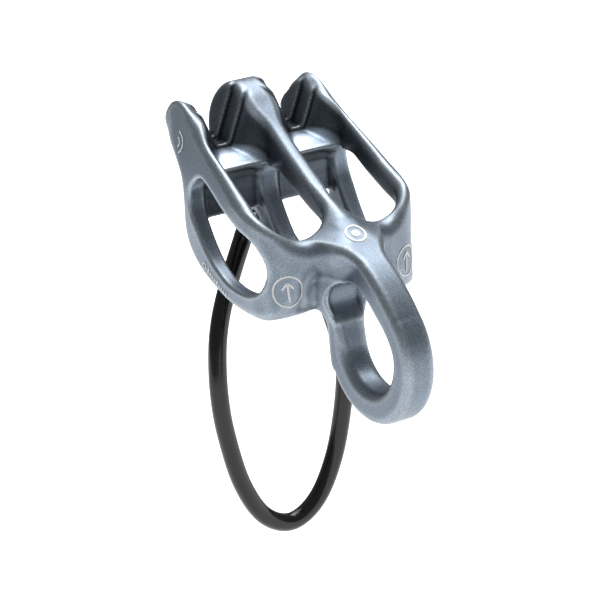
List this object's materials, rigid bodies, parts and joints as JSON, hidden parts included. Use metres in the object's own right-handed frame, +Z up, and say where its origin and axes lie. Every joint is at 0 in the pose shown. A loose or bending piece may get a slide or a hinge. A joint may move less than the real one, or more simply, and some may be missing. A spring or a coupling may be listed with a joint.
{
  "type": "guide mode belay device",
  "caption": "Forged aluminium belay plate with open rope slots, toothed V-grooves between horns, an anchor ring and a sheathed wire keeper loop that swings.",
  "frame": {"origin": "middle of the anchor ring's eye", "axes": "+X across the rope slots, square to the ring; +Y from the ring towards the horns; +Z up, with the keeper loop hanging straight down"},
  "size_m": [0.0436, 0.0671, 0.109],
  "materials": {
    "anodised_aluminium": "satin blue-grey anodising over a fine blasted grain, with brighter rounded edges",
    "black_plastic": "smooth black extruded plastic",
    "steel_wire": "bare stranded wire, modelled as one round core",
    "steel": "pressed plain steel"
  },
  "bodies": {
    "body": {"forged_body": "anodised_aluminium"},
    "keeper": {"cable_sheath": "black_plastic", "cable_core": "steel_wire", "crimp_ferrule": "steel"}
  },
  "joints": [
    {"name": "keeper_swing", "type": "hinge", "parent": "body", "child": "keeper", "pos_m": [0, 0.0446, 0.02202], "axis": [1, 0, 0], "range_deg": [-50, 145]}
  ]
}
